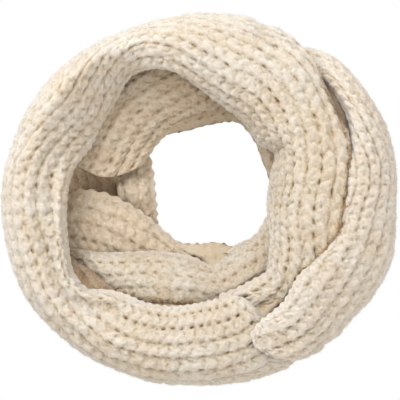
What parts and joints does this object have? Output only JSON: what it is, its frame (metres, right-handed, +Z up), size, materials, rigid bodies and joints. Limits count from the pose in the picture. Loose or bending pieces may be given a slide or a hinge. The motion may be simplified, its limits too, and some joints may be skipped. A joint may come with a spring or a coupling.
{
  "type": "infinity scarf",
  "caption": "Chunky rib-knit infinity scarf wound into a thick flat-lying ring, with crossing layers around an open neck.",
  "frame": {"origin": "middle of the underside of the ring, on the surface that it lies on", "axes": "+Z up out of the ring's open neck, +X to the right and +Y to the far side of the scarf as it is pictured from above"},
  "size_m": [0.3354, 0.3156, 0.1061],
  "materials": {
    "knit": "soft brushed cream chenille knit with tan grooves"
  },
  "bodies": {
    "root": {"outer_near": "knit", "outer_left": "knit", "outer_far": "knit", "crossing_right": "knit", "outer_right": "knit", "inner_near": "knit", "inner_band": "knit", "inner_far": "knit", "inner_left": "knit", "hidden_layers": "knit"}
  },
  "joints": []
}
